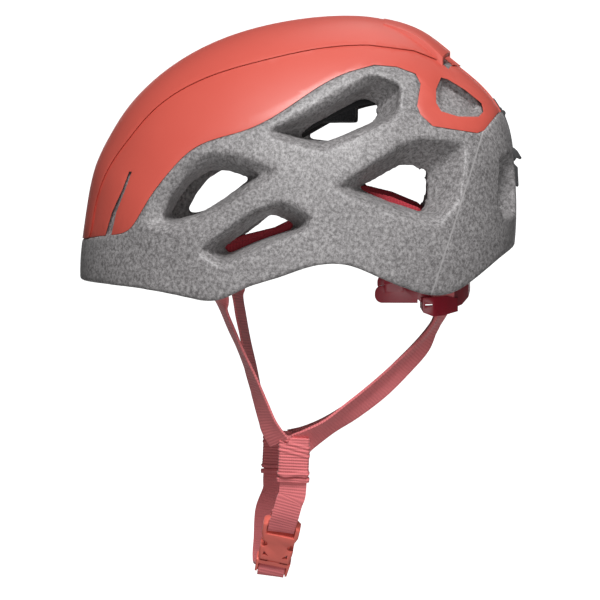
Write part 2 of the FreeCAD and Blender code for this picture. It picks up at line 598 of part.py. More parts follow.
latch = buckle_block([(LATCH_SPREAD - 3.0, latch_foot), (LATCH_SPREAD - 0.9, latch_foot),
                      (LATCH_SPREAD - 1.2, 22.0), (LATCH_SPREAD + 0.3, 20.4),
                      (LATCH_SPREAD + 0.3, 15.2), (LATCH_SPREAD - 2.0, 12.6),
                      (LATCH_SPREAD - 3.0, 14.0)], LATCH_DEPTH)
latch = latch.fuse(Part.makeCylinder(LATCH_ROOT, LATCH_DEPTH,
                                     V(LATCH_SPREAD - 1.95, -LATCH_DEPTH / 2, latch_foot),
                                     V(0, 1, 0)))
parts["latch_left"] = framed(latch, BUCKLE_TOP, buckle_axis, BUCKLE_ACROSS)
latch = latch.mirror(V(0, 0, 0), V(1, 0, 0))
parts["latch_right"] = framed(latch, BUCKLE_TOP, buckle_axis, BUCKLE_ACROSS)

# Chin webbing: the left length wraps the socket's bar, the right length the plug's bar
fold = bar_half + WEB_GAP + WEB_WALL / 2
foot, axis = chin_starts["left"]
left_path = [foot - axis * 14, foot + axis * 9.5, V(44.3, -3.2, -117.5), V(42.0, -5.6, -126.0),
             on_buckle(0, fold, 0.4), on_buckle(0, fold, 4.6), on_buckle(0, fold - 0.6, 6.2),
             on_buckle(0, fold - 2.0, 7.0), on_buckle(0, 1 - fold, 7.0), on_buckle(0, -fold, 5.4),
             on_buckle(0, -fold, 0), on_buckle(0, 0.2 - fold, -4)]
left_sides = [V(0, 1, 0)] * 2 + [BUCKLE_ACROSS] * (len(left_path) - 2)
parts["chin_strap_left"] = webbing(left_path, left_sides)

foot, axis = chin_starts["right"]
right_path = [foot - axis * 14, foot + axis * 6, foot + axis * 14, V(-36, -20.5, -135),
              V(-24, -20.8, -150), V(-10, -20.5, -161.5), on_buckle(0, -8.0, plug_bar + 6.4),
              on_buckle(0, -2.4, plug_bar + 5.4), on_buckle(0, 1.2, plug_bar + 5.1),
              on_buckle(0, fold + 0.2, plug_bar + 3.6), on_buckle(0, fold + 0.2, plug_bar + 0.6),
              on_buckle(0, fold - 0.8, plug_bar - 1.6), on_buckle(0, fold - 2.4, plug_bar - 2.3),
              on_buckle(0, -1.6, plug_bar - 2.3), on_buckle(0, -7.5, plug_bar - 1.6)]
right_sides = [V(0, 1, 0)] * 6 + [BUCKLE_ACROSS] * (len(right_path) - 6)
parts["chin_strap_right"] = webbing(right_path, right_sides)

# Nape cradle -------------------------------------------------------------------------------
pivot_wall = side_x(INNER_LINE, INNER_HALF_WIDTH, PIVOT_Y, PIVOT_Z)
x_dir = V(1, 0, 0)
pin = Part.makeCylinder(PIVOT_RADIUS, 18.0, V(ARM_X - 2.6, PIVOT_Y, PIVOT_Z), x_dir)
pin = pin.fuse(Part.makeCylinder(PIVOT_FLANGE, 1.2, V(ARM_X - 2.8, PIVOT_Y, PIVOT_Z), x_dir))
flange_x = ARM_X + ARM_WALL / 2 + SLIDE_GAP
pin = pin.fuse(Part.makeCylinder(PIVOT_FLANGE, pivot_wall + 1.5 - flange_x,
                                 V(flange_x, PIVOT_Y, PIVOT_Z), x_dir))
arm = ribbon([V(ARM_X, PIVOT_Y, PIVOT_Z), V(ARM_X - 0.4, 56.5, 30), V(ARM_X - 3.6, 57.5, 22),
              V(ARM_X - 7.8, 58.5, 14.5), V(LEG_X + 3.0, 59, 8.5)],
             [V(0, 1, 0)] * 5, ARM_WIDTH, ARM_WALL)
arm = arm.fuse(Part.makeCylinder(8.0, ARM_WALL, V(ARM_X - ARM_WALL / 2, PIVOT_Y, PIVOT_Z), x_dir))
sleeve_x = LEG_WALL + 2 * SLIDE_GAP
sleeve_z = LEG_HEIGHT + 2 * SLIDE_GAP
sleeve_y = (SLEEVE_FRONT + SLEEVE_REAR) / 2
sleeve_length = SLEEVE_REAR - SLEEVE_FRONT
sleeve = box(LEG_X, sleeve_y, LEG_Z, sleeve_x + 2 * SLEEVE_WALL, sleeve_length,
             sleeve_z + 2 * SLEEVE_WALL)
sleeve = sleeve.makeFillet(4.4, [e for e in sleeve.Edges if abs(e.BoundBox.XLength) > 3
                                 and e.BoundBox.YMax < SLEEVE_FRONT + 1])
arm = arm.fuse(sleeve).cut(box(LEG_X, sleeve_y + 2.4, LEG_Z, sleeve_x, sleeve_length, sleeve_z))
arm = arm.cut(Part.makeCylinder(PIVOT_RADIUS + PIVOT_CLEARANCE, 20,
                                V(ARM_X - 10, PIVOT_Y, PIVOT_Z), x_dir))
for shape, name in ((pin, "pivot_"), (arm, "cradle_arm_")):
    parts[name + "left"], parts[name + "right"] = both_sides(shape)


def upright_band(sections, wall):
    """Upright band through sections of x, y, foot and top."""
    wires = []
    last = len(sections) - 1
    for i, (x, y, foot, top) in enumerate(sections):
        before = sections[max(i - 1, 0)]
        after = sections[min(i + 1, last)]
        normal = V(after[1] - before[1], before[0] - after[0], 0)
        normal.normalize()
        normal = normal * (wall / 2)
        corners = [V(x + normal.x, y + normal.y, foot), V(x + normal.x, y + normal.y, top),
                   V(x - normal.x, y - normal.y, top), V(x - normal.x, y - normal.y, foot)]
        wires.append(Part.makePolygon(corners + corners[:1]))
    return Part.makeLoft(wires, True, True)


half_sections = [(LEG_X, LEG_FRONT, LEG_Z - LEG_HEIGHT / 2, LEG_Z + LEG_HEIGHT / 2)] + YOKE_SECTIONS
all_sections = half_sections + [(-x, y, foot, top) for x, y, foot, top in half_sections[-2::-1]]
yoke = upright_band(all_sections, LEG_WALL)
for x in (-24, 0, 24):
    yoke = yoke.cut(box(x, 100, 16, 15, 20, 9))
lobe_sections = [(x + 0.585 * LOBE_OUT, y + 0.811 * LOBE_OUT, -20, 20)
                 for x, y, foot, top in YOKE_SECTIONS[:5]]
lobe = upright_band(lobe_sections, LOBE_WALL)
lobe = lobe.common(side_prism([(73.5, 5.5), (73, 1), (76, -3.2), (81.7, -5.5), (88, -5.2),
                               (96.5, -3.6), (96.5, 4), (90, 6)], 20, 90))
for tool in both_sides(lobe):
    yoke = yoke.fuse(tool)
for tool in strap_tools:
    yoke = yoke.cut(tool)
yoke = yoke.cut(box(0, 79.2, 1.2, 160, 4.2, 1.0))
parts["nape_yoke"] = yoke

pad_sections = []
for x, y, foot, top in YOKE_SECTIONS[3:]:
    inward = V(-x, -1.6 * (y - 40), 0)
    inward.normalize()
    inward = inward * (LEG_WALL / 2 + FIT_GAP + NAPE_PAD_WALL / 2 + 0.4)
    pad_sections.append((x + inward.x, y + inward.y, foot + 2, top - 2))
pad_sections += [(-x, y, foot, top) for x, y, foot, top in pad_sections[-2::-1]]
parts["nape_pad"] = upright_band(pad_sections, NAPE_PAD_WALL)

# Rear headlamp keeper ----------------------------------------------------------------------
def rear_line(z, offset):
    return rear_y(OUTER_LINE, HALF_WIDTH, 0.0, z, offset)


def rear_strip(z_low, z_high, low, high, width):
    """Curved strip over the back of the helmet between two offsets of the outer form."""
    strip = dome(OUTER_LINE, HALF_WIDTH, high).cut(dome(OUTER_LINE, HALF_WIDTH, low))
    return strip.common(box(0, 120, (z_low + z_high) / 2, width, 60, z_high - z_low))


pin_at = V(0, rear_line(KEEPER_PIN_Z, -0.4), KEEPER_PIN_Z)
band_width = 2 * KNUCKLE_HALF
mount = rear_strip(KEEPER_PIN_Z + 2.6, KEEPER_PIN_Z + 9, 0.3 - KEEPER_CHANNEL, -0.2, KEEPER_WIDTH)
for way in (1, -1):
    middle = way * (KNUCKLE_HALF + KNUCKLE_GAP + KEEPER_WIDTH / 2) / 2
    reach = KEEPER_WIDTH / 2 - KNUCKLE_HALF - KNUCKLE_GAP
    mount = mount.fuse(Part.makeCylinder(KNUCKLE_RADIUS, reach, pin_at + V(middle - reach / 2, 0, 0),
                                         x_dir))
    mount = mount.fuse(rear_strip(KEEPER_PIN_Z, KEEPER_PIN_Z + 3.6, -2.0, 0.4, KEEPER_WIDTH)
                       .common(box(middle, 120, KEEPER_PIN_Z, reach, 60, 60)))
mount = mount.fuse(Part.makeCylinder(KEEPER_PIN_RADIUS, KEEPER_WIDTH,
                                     pin_at - V(KEEPER_WIDTH / 2, 0, 0), x_dir))
peg_at = V(0, rear_line(KEEPER_PIN_Z + 6, -2.0), KEEPER_PIN_Z + 6)
mount = mount.fuse(Part.makeCylinder(2.6, 9.0, peg_at, V(0, -0.8, -0.6)))
parts["keeper_mount"] = mount

band = rear_strip(93.0, KEEPER_PIN_Z, -1.3, 0.3, band_width)
band = band.fuse(Part.makeCylinder(KNUCKLE_RADIUS, band_width, pin_at - V(KNUCKLE_HALF, 0, 0), x_dir))
band = band.cut(Part.makeCylinder(KEEPER_PIN_RADIUS + PIVOT_CLEARANCE, 20, pin_at - V(10, 0, 0),
                                  x_dir))
parts["keeper_band"] = band
hook = side_prism([(128.9, 93), (130.4, 93), (132.6, 91), (135.4, 86.6), (134.4, 85.6),
                   (132.4, 86.8), (131.0, 84.6), (129.6, 86)], -6, 6)
parts["keeper_hook"] = hook
catch = side_prism([(128.4, 83.6), (130.4, 83.6), (133.0, 81), (133.6, 70), (132.8, 69),
                    (131.6, 70), (131.4, 66.5), (128.6, 66.5)], -5, 5)
catch = catch.fuse(Part.makeCylinder(3.0, 11.0, V(0, 130, 75), V(0, -1, 0)))
parts["keeper_catch"] = catch

# Seats of the inserts in the foam ----------------------------------------------------------
for name in ("anchor_front_left", "anchor_front_right", "anchor_rear_left", "anchor_rear_right",
             "pivot_left", "pivot_right", "keeper_mount", "keeper_catch"):
    foam = foam.cut(parts[name])
parts["foam_body"] = foam

os.makedirs("parts", exist_ok=True)
for name, shape in parts.items():
    solids = shape.Solids
    shape = solids[0] if len(solids) == 1 else shape
    shape.exportStep("parts/" + name + ".step")
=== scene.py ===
import math

import bpy
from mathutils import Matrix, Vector
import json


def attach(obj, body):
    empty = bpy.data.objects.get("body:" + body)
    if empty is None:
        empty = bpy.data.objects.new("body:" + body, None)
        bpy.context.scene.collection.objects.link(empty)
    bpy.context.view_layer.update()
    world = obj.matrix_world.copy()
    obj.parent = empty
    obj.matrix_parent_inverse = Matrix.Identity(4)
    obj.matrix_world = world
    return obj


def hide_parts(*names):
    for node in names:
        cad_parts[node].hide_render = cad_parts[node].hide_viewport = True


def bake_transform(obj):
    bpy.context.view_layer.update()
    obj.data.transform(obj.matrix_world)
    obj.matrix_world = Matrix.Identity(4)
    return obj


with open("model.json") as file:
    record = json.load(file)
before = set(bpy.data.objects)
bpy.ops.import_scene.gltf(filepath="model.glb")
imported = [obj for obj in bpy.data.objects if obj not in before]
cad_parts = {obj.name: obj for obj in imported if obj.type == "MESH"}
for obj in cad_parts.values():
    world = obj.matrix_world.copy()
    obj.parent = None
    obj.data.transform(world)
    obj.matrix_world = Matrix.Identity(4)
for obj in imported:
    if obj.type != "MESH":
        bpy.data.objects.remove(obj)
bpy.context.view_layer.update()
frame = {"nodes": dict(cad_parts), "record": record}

nodes = frame["nodes"]
sides = {"left": 1, "right": -1}


# camera, light and floor

camera = {"target": (0.0, 0.0012, 0.0), "distance": 1.5, "turn": 2.5, "rise": 0.0976,
          "lens": 147.86}


def addCamera():
    turn = math.radians(camera["turn"])
    target = Vector(camera["target"])
    place = target + Vector((camera["distance"] * math.cos(turn),
                             camera["distance"] * math.sin(turn), camera["rise"]))
    data = bpy.data.cameras.new("camera")
    data.lens = camera["lens"]
    data.sensor_width = 36.0
    data.clip_start = 0.05
    data.clip_end = 20.0
    eye = bpy.data.objects.new("camera", data)
    bpy.context.scene.collection.objects.link(eye)
    eye.location = place
    eye.rotation_euler = (target - place).to_track_quat("-Z", "Y").to_euler()
    bpy.context.scene.camera = eye


lamps = {"key": {"at": (1.25, 0.1, 1.5), "size": 0.7, "power": 40.0},
         "fill": {"at": (1.9, 0.3, -0.2), "size": 1.0, "power": 10.0},
         "back": {"at": (-0.7, 0.3, 1.5), "size": 1.0, "power": 4.0}}
skyLight = 0.08


def addLamps():
    for name, lamp in lamps.items():
        data = bpy.data.lights.new(name, "AREA")
        data.shape = "SQUARE"
        data.size = lamp["size"]
        data.energy = lamp["power"]
        light = bpy.data.objects.new(name, data)
        bpy.context.scene.collection.objects.link(light)
        light.location = lamp["at"]
        aim = Vector((0, 0, 0.05)) - light.location
        light.rotation_euler = aim.to_track_quat("-Z", "Y").to_euler()
    world = bpy.data.worlds.new("studio")
    bpy.context.scene.world = world
    world.use_nodes = True
    sky = world.node_tree.nodes["Background"]
    sky.inputs["Color"].default_value = (1.0, 1.0, 1.0, 1.0)
    sky.inputs["Strength"].default_value = skyLight


floorSize = {"height": -1.7, "half": 5.0, "wall": 1.7, "wallAt": (-5.0, -0.2, -0.33)}


def clearSelection():
    if bpy.context.object and bpy.context.object.mode != "OBJECT":
        bpy.ops.object.mode_set(mode="OBJECT")
    bpy.ops.object.select_all(action="DESELECT")


def makeActive(piece):
    clearSelection()
    piece.select_set(True)
    bpy.context.view_layer.objects.active = piece


def newMaterial(name, colour, rough):
    material = bpy.data.materials.new(name)
    material.use_nodes = True
    shader = material.node_tree.nodes["Principled BSDF"]
    shader.inputs["Base Color"].default_value = (*colour, 1.0)
    shader.inputs["Roughness"].default_value = rough
    return material, material.node_tree, shader


def addFloor():
    clearSelection()
    bpy.ops.mesh.primitive_plane_add(size=2 * floorSize["half"],
                                     location=(0, 0, floorSize["height"]))
    floor = bpy.context.object
    floor.name = "floor"
    bpy.ops.mesh.primitive_plane_add(size=2 * floorSize["wall"], rotation=(0, math.pi / 2, 0),
                                     location=floorSize["wallAt"])
    wall = bpy.context.object
    wall.name = "backdrop"
    for piece, glow in ((floor, 0.0), (wall, 1.0)):
        material, tree, shader = newMaterial(piece.name + "Paint", (0.85, 0.85, 0.85), 0.9)
        shader.inputs["Emission Color"].default_value = (1.0, 1.0, 1.0, 1.0)
        shader.inputs["Emission Strength"].default_value = glow
        piece.data.materials.append(material)


addCamera()
addLamps()
addFloor()
bpy.context.scene.view_settings.view_transform = "Standard"
print("camera, lamps and floor")


# materials

def addNode(tree, kind, **values):
    node = tree.nodes.new(kind)
    for key, value in values.items():
        setattr(node, key, value)
    return node


def ramp(tree, source, stops):
    node = tree.nodes.new("ShaderNodeValToRGB")
    elements = node.color_ramp.elements
    while len(elements) < len(stops):
        elements.new(0.5)
    for element, (place, colour) in zip(elements, stops):
        element.position = place
        element.color = (*colour, 1.0) if len(colour) == 3 else colour
    tree.links.new(source, node.inputs["Fac"])
    return node.outputs["Color"]


def mathNode(tree, operation, first, second):
    node = addNode(tree, "ShaderNodeMath", operation=operation)
    for socket, value in zip(node.inputs, (first, second)):
        if isinstance(value, (int, float)):
            socket.default_value = value
        else:
            tree.links.new(value, socket)
    return node.outputs[0]


def bump(tree, shader, height, strength, distance, under=None):
    node = tree.nodes.new("ShaderNodeBump")
    node.inputs["Strength"].default_value = strength
    node.inputs["Distance"].default_value = distance
    tree.links.new(height, node.inputs["Height"])
    if under:
        tree.links.new(under, node.inputs["Normal"])
    tree.links.new(node.outputs["Normal"], shader.inputs["Normal"])
    return node.outputs["Normal"]


def noise(tree, vector, scale, detail=2.0, rough=0.5):
    node = tree.nodes.new("ShaderNodeTexNoise")
    node.inputs["Scale"].default_value = scale
    node.inputs["Detail"].default_value = detail
    node.inputs["Roughness"].default_value = rough
    tree.links.new(vector, node.inputs["Vector"])
    return node.outputs["Fac"]


def cells(tree, vector, scale, feature="F1", output="Distance"):
    node = addNode(tree, "ShaderNodeTexVoronoi", feature=feature)
    node.inputs["Scale"].default_value = scale
    tree.links.new(vector, node.inputs["Vector"])
    return node.outputs[output]


def mixColour(tree, share, first, second, blend="MIX"):
    node = addNode(tree, "ShaderNodeMix", data_type="RGBA", blend_type=blend)
    for socket, value in zip((node.inputs[0], node.inputs[6], node.inputs[7]),
                             (share, first, second)):
        if isinstance(value, (int, float)):
            socket.default_value = value
        elif isinstance(value, tuple):
            socket.default_value = (*value, 1.0)
        else:
            tree.links.new(value, socket)
    return node.outputs[2]


def grey(level):
    return (level, level, level)


foamLook = {"bead": 300.0, "speck": 520.0, "pit": 620.0, "patch": 45.0, "dark": (0.125, 0.118, 0.118),
            "mid": (0.27, 0.258, 0.26), "light": (0.43, 0.415, 0.417), "rough": 0.46,
            "line": (0.0774, 0.33, -0.063)}


def mouldLine(tree, place):
    # light line that runs down the side behind the vents, where y = a + b z + c z z
    a, b, c = foamLook["line"]
    split = tree.nodes.new("ShaderNodeSeparateXYZ")
    tree.links.new(place, split.inputs["Vector"])
    height = split.outputs["Z"]
    curve = mathNode(tree, "MULTIPLY", mathNode(tree, "MULTIPLY", height, height), c)
    curve = mathNode(tree, "ADD", curve, mathNode(tree, "MULTIPLY", height, b))
    curve = mathNode(tree, "ADD", curve, a)
    gap = mathNode(tree, "ABSOLUTE", mathNode(tree, "SUBTRACT", split.outputs["Y"], curve), 0.0)
    return ramp(tree, mathNode(tree, "MULTIPLY", gap, 1000.0),
                [(0.0, grey(0.75)), (0.35, grey(0.6)), (0.6, grey(0))])


def makeFoam():
    material, tree, shader = newMaterial("beadedFoam", foamLook["mid"], foamLook["rough"])
    place = tree.nodes.new("ShaderNodeTexCoord").outputs["Object"]
    specks = noise(tree, place, foamLook["speck"], 5.0, 0.75)
    base = ramp(tree, specks, [(0.36, foamLook["dark"]), (0.5, foamLook["mid"]),
                               (0.64, foamLook["light"])])
    edge = cells(tree, place, foamLook["bead"], "DISTANCE_TO_EDGE")
    # painted shade: darker along the grooves between the beads
    beadSeamShade = ramp(tree, edge, [(0.0, grey(0.80)), (0.06, grey(1)), (1.0, grey(1))])
    # painted shade: small dark spots where the foam has pits
    pitShade = ramp(tree, cells(tree, place, foamLook["pit"]),
                [(0.0, grey(0.62)), (0.24, grey(1)), (1.0, grey(1))])
    patches = ramp(tree, noise(tree, place, foamLook["patch"], 4.0),
                   [(0.35, grey(0.88)), (0.65, grey(1))])
    colour = base
    for layer in (beadSeamShade, pitShade, patches):
        colour = mixColour(tree, 1.0, colour, layer, "MULTIPLY")
    colour = mixColour(tree, mouldLine(tree, place), colour, foamLook["light"])
    tree.links.new(colour, shader.inputs["Base Color"])
    low = bump(tree, shader, edge, 0.18, 0.0005)
    bump(tree, shader, specks, 0.3, 0.0004, low)
    return material


shellLook = {"colour": (0.62, 0.10, 0.072), "deep": (0.57, 0.088, 0.064), "rough": 0.44,
             "smoother": 0.05, "rougher": 0.08, "coat": 0.15}


def makeShell():
    material, tree, shader = newMaterial("crownPlastic", shellLook["colour"], shellLook["rough"])
    place = tree.nodes.new("ShaderNodeTexCoord").outputs["Object"]
    drift = ramp(tree, noise(tree, place, 9.0, 3.0), [(0.3, shellLook["deep"]),
                                                       (0.7, shellLook["colour"])])
    tree.links.new(drift, shader.inputs["Base Color"])
    gloss = tree.nodes.new("ShaderNodeMapRange")
    gloss.inputs["To Min"].default_value = shellLook["rough"] - shellLook["smoother"]
    gloss.inputs["To Max"].default_value = shellLook["rough"] + shellLook["rougher"]
    tree.links.new(noise(tree, place, 60.0, 5.0), gloss.inputs["Value"])
    tree.links.new(gloss.outputs["Result"], shader.inputs["Roughness"])
    shader.inputs["Coat Weight"].default_value = shellLook["coat"]
    shader.inputs["Coat Roughness"].default_value = 0.25
    bump(tree, shader, noise(tree, place, 1500.0, 2.0), 0.08, 0.0002)
    return material


webLook = {"rib": 0.0018, "yarn": 0.0011, "fuzz": 2500.0, "light": (0.80, 0.20, 0.21),
           "dark": (0.56, 0.10, 0.12), "rough": 0.75}


def wave(tree, source, length):
    turns = mathNode(tree, "MULTIPLY", source, 2 * math.pi / length)
    return mathNode(tree, "SINE", turns, 0.0)


def makeWebbing(name, light, dark):
    # u runs along the webbing in metres, v across it in metres
    material, tree, shader = newMaterial(name, light, webLook["rough"])
    uv = tree.nodes.new("ShaderNodeUVMap")
    uv.uv_map = "UVMap"
    split = tree.nodes.new("ShaderNodeSeparateXYZ")
    tree.links.new(uv.outputs["UV"], split.inputs["Vector"])
    ribs = wave(tree, split.outputs["X"], webLook["rib"])
    yarns = wave(tree, split.outputs["Y"], webLook["yarn"])
    weave = mathNode(tree, "ADD", ribs, mathNode(tree, "MULTIPLY", yarns, 0.3))
    place = tree.nodes.new("ShaderNodeTexCoord").outputs["Object"]
    fuzz = noise(tree, place, webLook["fuzz"], 2.0)
    weave = mathNode(tree, "ADD", weave, mathNode(tree, "MULTIPLY", fuzz, 0.8))
    # painted shade and light: the colour follows the height of the weave, darker in the rib troughs and
    # lighter on the crests
    colour = ramp(tree, mathNode(tree, "MULTIPLY_ADD", weave, 0.3),
                  [(0.0, dark), (0.42, light), (1.0, light)])
    fade = ramp(tree, noise(tree, place, 70.0, 3.0), [(0.3, grey(0.88)), (0.7, grey(1))])
    tree.links.new(mixColour(tree, 1.0, colour, fade, "MULTIPLY"), shader.inputs["Base Color"])
    shader.inputs["Sheen Weight"].default_value = 0.25
    shader.inputs["Sheen Roughness"].default_value = 0.4
    bump(tree, shader, weave, 0.35, 0.0003)
    return material


def makePlastic(name, colour, rough, grain=1200.0, glow=0.0):
    material, tree, shader = newMaterial(name, colour, rough)
    place = tree.nodes.new("ShaderNodeTexCoord").outputs["Object"]
    deep = tuple(c * 0.85 for c in colour)
    drift = ramp(tree, noise(tree, place, 55.0, 4.0), [(0.3, deep), (0.7, colour)])
    tree.links.new(drift, shader.inputs["Base Color"])
    if glow:
        shader.inputs["Subsurface Weight"].default_value = glow
        shader.inputs["Subsurface Radius"].default_value = (0.004, 0.001, 0.001)
    bump(tree, shader, noise(tree, place, grain, 2.0), 0.12, 0.0002)
    return material


def makeCloth(name, colour):
    material, tree, shader = newMaterial(name, colour, 0.9)
    place = tree.nodes.new("ShaderNodeTexCoord").outputs["Object"]
    knit = cells(tree, place, 900.0)
    light = tuple(min(1.0, c * 1.7 + 0.01) for c in colour)
    tree.links.new(ramp(tree, knit, [(0.1, light), (0.6, colour)]), shader.inputs["Base Color"])
    shader.inputs["Sheen Weight"].default_value = 0.3
    bump(tree, shader, knit, 0.5, 0.0004)
    return material


finish = {"foam": makeFoam(), "shell": makeShell(),
          "core": makePlastic("coreFoam", (0.018, 0.018, 0.019), 0.8, 500.0),
          "webbing": makeWebbing("webbing", webLook["light"], webLook["dark"]),
          "trim_webbing": makeWebbing("trimWebbing", (0.42, 0.02, 0.035), (0.2, 0.01, 0.02)),
          "buckle": makePlastic("bucklePlastic", (0.90, 0.18, 0.14), 0.42),
          "cradle": makePlastic("cradlePlastic", (0.36, 0.012, 0.03), 0.35, 900.0, 0.15),
          "elastic": makePlastic("elastic", (0.03, 0.03, 0.032), 0.85, 700.0),
          "black_plastic": makePlastic("blackPlastic", (0.03, 0.03, 0.032), 0.5),
          "padding": makeCloth("padding", (0.02, 0.02, 0.022))}
slotOf = {entry["node"]: entry["material_slot"] for entry in frame["record"]["subparts"]}
for name, node in nodes.items():
    node.data.materials.clear()
    node.data.materials.append(finish[slotOf[name]])
print("materials")


# helpers for pieces

def applyAll(piece):
    makeActive(piece)
    for modifier in list(piece.modifiers):
        bpy.ops.object.modifier_apply(modifier=modifier.name)


def copyNode(name, pieceName):
    mesh = nodes[name].data.copy()
    piece = bpy.data.objects.new(pieceName, mesh)
    bpy.context.scene.collection.objects.link(piece)
    makeActive(piece)
    bpy.ops.object.mode_set(mode="EDIT")
    bpy.ops.mesh.select_all(action="SELECT")
    bpy.ops.mesh.remove_doubles(threshold=0.00001)
    bpy.ops.mesh.normals_make_consistent(inside=False)
    bpy.ops.object.mode_set(mode="OBJECT")
    return piece


def finishPiece(piece, body, slotName, *replaced):
    piece.data.materials.clear()
    piece.data.materials.append(finish[slotName])
    if body:
        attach(piece, body)
    if replaced:
        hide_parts(*replaced)


def remesh(piece, voxel):
    modifier = piece.modifiers.new("remesh", "REMESH")
    modifier.mode = "VOXEL"
    modifier.voxel_size = voxel
    modifier.use_smooth_shade = True
    applyAll(piece)


def relax(piece, factor, times):
    modifier = piece.modifiers.new("relax", "SMOOTH")
    modifier.factor = factor
    modifier.iterations = times
    applyAll(piece)


def softEdges(piece, width, segments=2, angle=38.0):
    makeActive(piece)
    bpy.ops.object.mode_set(mode="EDIT")
    bpy.ops.mesh.select_all(action="SELECT")
    bpy.ops.mesh.dissolve_limited(angle_limit=math.radians(1.0))
    bpy.ops.object.mode_set(mode="OBJECT")
    modifier = piece.modifiers.new("edges", "BEVEL")
    modifier.width = width
    modifier.segments = segments
    modifier.limit_method = "ANGLE"
    modifier.angle_limit = math.radians(angle)
    modifier.use_clamp_overlap = True
    applyAll(piece)
    bpy.ops.object.shade_smooth_by_angle(angle=math.radians(angle))


# foam body and crown shell

foam = {"voxel": 0.0016, "soften": 0.5, "rounds": 3}
shellEdge = {"width": 0.00035, "angle": 42.0}

foamBody = copyNode("foam_body", "foam_body_beads")
remesh(foamBody, foam["voxel"])
relax(foamBody, foam["soften"], foam["rounds"])
finishPiece(foamBody, "helmet", "foam", "foam_body")
print("foam body", len(foamBody.data.polygons))

shellPiece = copyNode("shell", "shell_moulded")
softEdges(shellPiece, shellEdge["width"], 2, shellEdge["angle"])
finishPiece(shellPiece, "helmet", "shell", "shell")
print("shell")


# webbing

web = {"width": 0.016, "wall": 0.0015, "step": 0.0009, "columns": 10, "samples": 400,
       "look": 0.004, "foldDepth": 0.2, "foldPinch": 0.08, "foldRound": 0.03, "edge": 0.3,
       "bandVoxel": 0.0005}


def curvePoint(points, t):
    # point on a smooth line through all the points, t from 0 to 1
    spans = len(points) - 1
    place = min(t * spans, spans - 1e-6)
    i = int(place)
    f = place - i
    p1 = Vector(points[i])
    p2 = Vector(points[i + 1])
    p0 = Vector(points[i - 1]) if i > 0 else 2 * p1 - p2
    p3 = Vector(points[i + 2]) if i + 2 <= spans else 2 * p2 - p1
    return 0.5 * (2 * p1 + (p2 - p0) * f + (2 * p0 - 5 * p1 + 4 * p2 - p3) * f * f
                  + (3 * p1 - p0 - 3 * p2 + p3) * f ** 3)


def travel(points):
    # distance from the start of the route to each of its samples
    count = web["samples"]
    samples = [curvePoint(points, i / count) for i in range(count + 1)]
    travelled = [0.0]
    for a, b in zip(samples, samples[1:]):
        travelled.append(travelled[-1] + (b - a).length)
    return travelled


def strapFrame(points, across, folds, t):
    # place, direction of the width, outward direction and crease at t
    here = curvePoint(points, t)
    ahead = curvePoint(points, min(1, t + web["look"]))
    along = ahead - curvePoint(points, max(0, t - web["look"]))
    along.normalize()
    side = curvePoint(across, t)
    side = (side - along * side.dot(along)).normalized()
    normal = along.cross(side)
    if normal.x * here.x < 0:
        normal = -normal
    return here, side, normal, curvePoint(folds, t).x


def strapPiece(name, points, across, folds=None):
    # webbing along a route; across gives the direction of its width at every point of the
    # route and folds how far its middle is creased, from 0 (flat) to 1
    folds = [(f, 0, 0) for f in folds or [0.0] * len(points)]
    travelled = travel(points)
    rows = max(12, int(travelled[-1] / web["step"] / 2) * 2)
    clearSelection()
    bpy.ops.mesh.primitive_grid_add(x_subdivisions=rows, y_subdivisions=web["columns"], size=2)
    piece = bpy.context.object
    piece.name = name
    frames = {}
    k = 0
    for vertex in sorted(piece.data.vertices, key=lambda v: v.co.x):
        key = round(vertex.co.x, 5)
        if key not in frames:
            far = (key + 1) / 2 * travelled[-1]
            while k < web["samples"] and travelled[k + 1] < far:
                k += 1
            part = (far - travelled[k]) / max(1e-9, travelled[k + 1] - travelled[k])
            frames[key] = strapFrame(points, across, folds, (k + part) / web["samples"])
        here, side, normal, fold = frames[key]
        v = vertex.co.y
        over = v * web["width"] / 2 * (1 - fold * web["foldPinch"])
        lift = fold * web["foldDepth"] * web["width"] * (1 - math.sqrt(v * v + web["foldRound"]))
        vertex.co = here + side * over - normal * lift
    uv = piece.data.uv_layers[0].data
    for loop in piece.data.loops:
        u, v = uv[loop.index].uv
        uv[loop.index].uv = (u * travelled[-1], (v - 0.5) * web["width"])
    piece.data.uv_layers[0].name = "UVMap"
    thick = piece.modifiers.new("wall", "SOLIDIFY")
    thick.thickness = web["wall"]
    thick.offset = 0.0
    edge = piece.modifiers.new("edge", "BEVEL")
    edge.width = web["wall"] * web["edge"]
    edge.segments = 2
    edge.limit_method = "ANGLE"
    edge.angle_limit = math.radians(60)
    applyAll(piece)
    bpy.ops.object.shade_smooth_by_angle(angle=math.radians(50))
    return piece


hang = {"top": 0.002, "over": 0.079, "forward": -0.015, "down": -0.008}


def handed(point, side):
    # the right side of the harness hangs a little further forward and lower
    x, y, z = point
    if side > 0:
        return (x, y, z)
    share = min(1.0, max(0.0, (hang["top"] - z) / hang["over"]))
    return (-x, y + share * hang["forward"], z + share * hang["down"])


